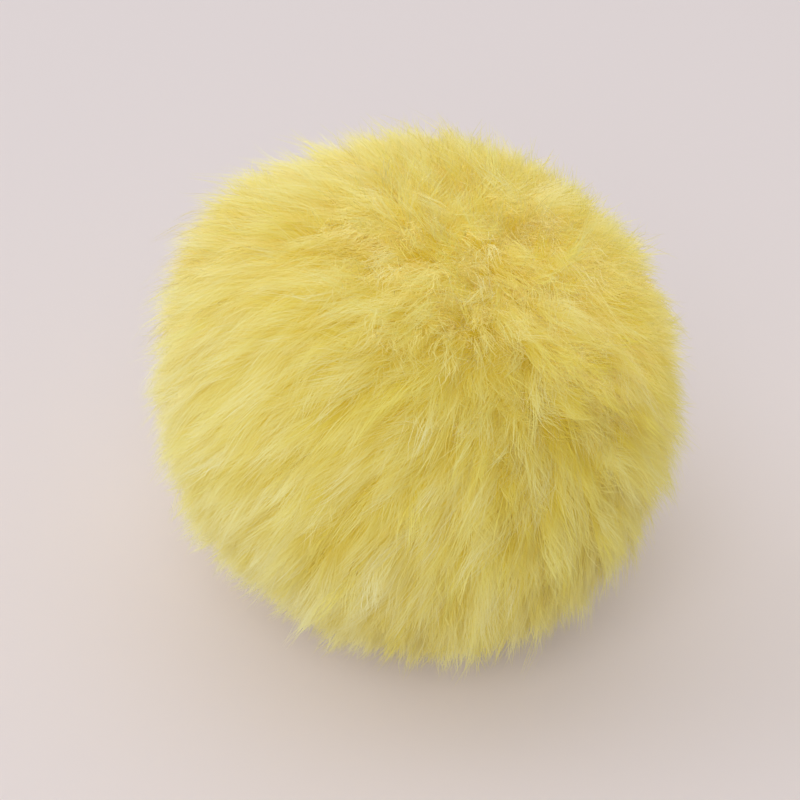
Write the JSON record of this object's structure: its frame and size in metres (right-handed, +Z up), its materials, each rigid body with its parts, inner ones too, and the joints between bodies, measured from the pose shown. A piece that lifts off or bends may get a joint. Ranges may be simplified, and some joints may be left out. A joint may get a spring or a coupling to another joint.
{
  "type": "pom pom",
  "caption": "Round fur pom pom: a small stuffed ball covered in long soft pile that leans away from one crown in locks and rests on a small flat spot.",
  "frame": {"origin": "middle of the pom pom's underside, on the surface that it rests on", "axes": "+Z up, -Y towards the viewer of the picture, +X to that viewer's right"},
  "size_m": [0.0804, 0.0808, 0.0756],
  "materials": {
    "fur": "matt long pile"
  },
  "bodies": {
    "root": {"fur_ball": "fur"}
  },
  "joints": []
}
